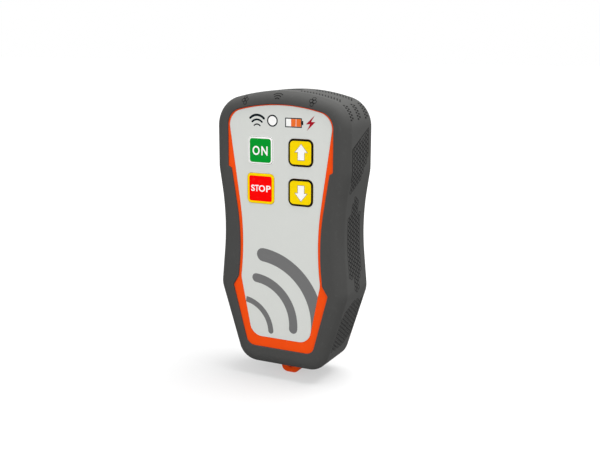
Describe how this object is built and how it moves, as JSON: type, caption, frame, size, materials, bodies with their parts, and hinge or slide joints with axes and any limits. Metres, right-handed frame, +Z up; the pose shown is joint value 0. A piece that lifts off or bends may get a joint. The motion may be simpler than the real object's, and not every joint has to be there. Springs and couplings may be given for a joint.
{
  "type": "crane radio remote control",
  "caption": "Hand-held radio remote for a crane: a sealed orange case in a dark rubber bumper, with push keys, indicator lamps and a lanyard lug.",
  "frame": {"origin": "under the middle of the remote, at the lowest point of the lanyard lug", "axes": "+Z up along the remote, from the lug to the crown; +Y from the key panel through to the back; +X to the right of someone facing the keys"},
  "size_m": [0.0774, 0.0352, 0.1552],
  "materials": {
    "bumper_rubber": "fine matt moulded rubber",
    "case_orange": "satin moulded plastic",
    "label_grey": "fine-grained printed film",
    "key_green": "satin printed key",
    "key_red": "satin printed key",
    "key_yellow": "satin printed key",
    "lens_white": "glossy diffusing plastic",
    "seal_black": "soft matt rubber",
    "board_green": "solder mask",
    "part_black": "moulded package",
    "shield_tin": "tinned sheet",
    "battery_wrap": "shrink wrap over a cell pack",
    "foam_grey": "open foam",
    "lead_red": "soft insulation",
    "plug_white": "moulded nylon",
    "led_white": "clear package"
  },
  "bodies": {
    "handset": {"rubber_bumper": "bumper_rubber", "front_case": "case_orange", "rear_case": "case_orange", "case_seal": "seal_black", "front_label": "label_grey", "status_lens": "lens_white", "battery_gauge_lens": "lens_white", "status_led": "led_white", "gauge_leds": "led_white", "main_board": "board_green", "radio_module": "shield_tin", "processor_chip": "part_black", "antenna": "shield_tin", "battery_pack": "battery_wrap", "battery_foam": "foam_grey", "battery_leads": "lead_red", "battery_plug": "plug_white", "switch_on": "part_black", "switch_stop": "part_black", "switch_up": "part_black", "switch_down": "part_black"},
    "on_key": {"key_on": "key_green", "plunger_on": "part_black"},
    "stop_key": {"key_stop": "key_red", "plunger_stop": "part_black"},
    "up_key": {"key_up": "key_yellow", "plunger_up": "part_black"},
    "down_key": {"key_down": "key_yellow", "plunger_down": "part_black"}
  },
  "joints": [
    {"name": "on_press", "type": "slide", "parent": "handset", "child": "on_key", "axis": [0, 1, 0], "range_m": [0, 0.0006], "stiffness_N_per_m": 3000, "springref_m": -0.0004},
    {"name": "stop_press", "type": "slide", "parent": "handset", "child": "stop_key", "axis": [0, 1, 0], "range_m": [0, 0.0006], "stiffness_N_per_m": 3000, "springref_m": -0.0004},
    {"name": "up_press", "type": "slide", "parent": "handset", "child": "up_key", "axis": [0, 1, 0], "range_m": [0, 0.0006], "stiffness_N_per_m": 3000, "springref_m": -0.0004},
    {"name": "down_press", "type": "slide", "parent": "handset", "child": "down_key", "axis": [0, 1, 0], "range_m": [0, 0.0006], "stiffness_N_per_m": 3000, "springref_m": -0.0004}
  ]
}
